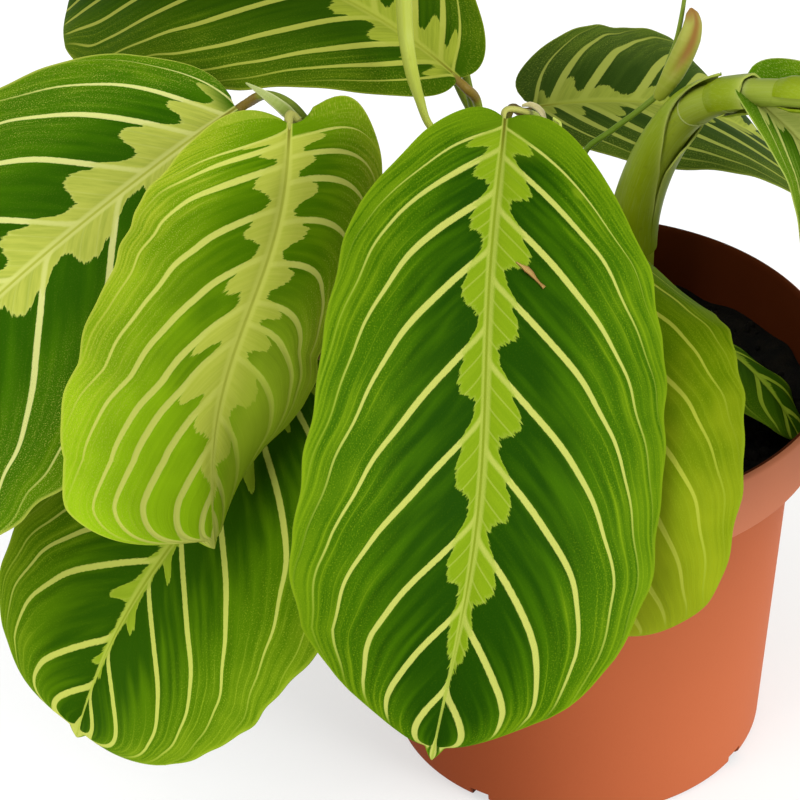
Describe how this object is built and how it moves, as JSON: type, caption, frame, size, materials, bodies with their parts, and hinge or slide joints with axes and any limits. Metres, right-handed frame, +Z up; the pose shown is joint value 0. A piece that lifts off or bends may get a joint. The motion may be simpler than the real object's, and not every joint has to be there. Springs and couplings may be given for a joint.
{
  "type": "potted prayer plant maranta",
  "caption": "Prayer plant with broad oval leaves, lime-veined and drooping, on arching stems in a thin terracotta-coloured plastic nursery pot.",
  "frame": {"origin": "centre of the pot's underside, on the surface that the pot stands on", "axes": "+Z up along the pot's axis; -Y towards the viewer, the side the front leaf hangs over; +X to the viewer's right"},
  "size_m": [0.4005, 0.2617, 0.2161],
  "materials": {
    "pot": "satin moulded plastic, terracotta colour",
    "soil": null,
    "stem": null,
    "leaf": "satin green leaf with lime veins; leather stands in for plant tissue",
    "young_leaf": "satin light green leaf with lime veins; leather stands in for plant tissue",
    "flower_stalk": "thin yellow-green stalk with papery bracts; leather stands in for plant tissue"
  },
  "bodies": {
    "root": {"pot": "pot", "soil": "soil", "stem_right": "stem", "stem_left": "stem", "stem_front": "stem", "stem_middle": "stem", "stem_back": "stem", "leaf_front": "leaf", "leaf_front_left_young": "young_leaf", "leaf_left": "leaf", "leaf_back_left": "leaf", "leaf_low_left": "leaf", "leaf_over_rim": "young_leaf", "leaf_inside_pot": "leaf", "leaf_back_right": "leaf", "leaf_right": "leaf", "leaf_right_end": "leaf", "leaf_right_back": "leaf", "leaf_right_front": "leaf", "leaf_top_right": "leaf", "leaf_top_left": "leaf", "leaf_back": "leaf", "leaf_back_far_left": "leaf", "flower_stalk_front": "flower_stalk", "flower_stalk_back": "flower_stalk"}
  },
  "joints": []
}
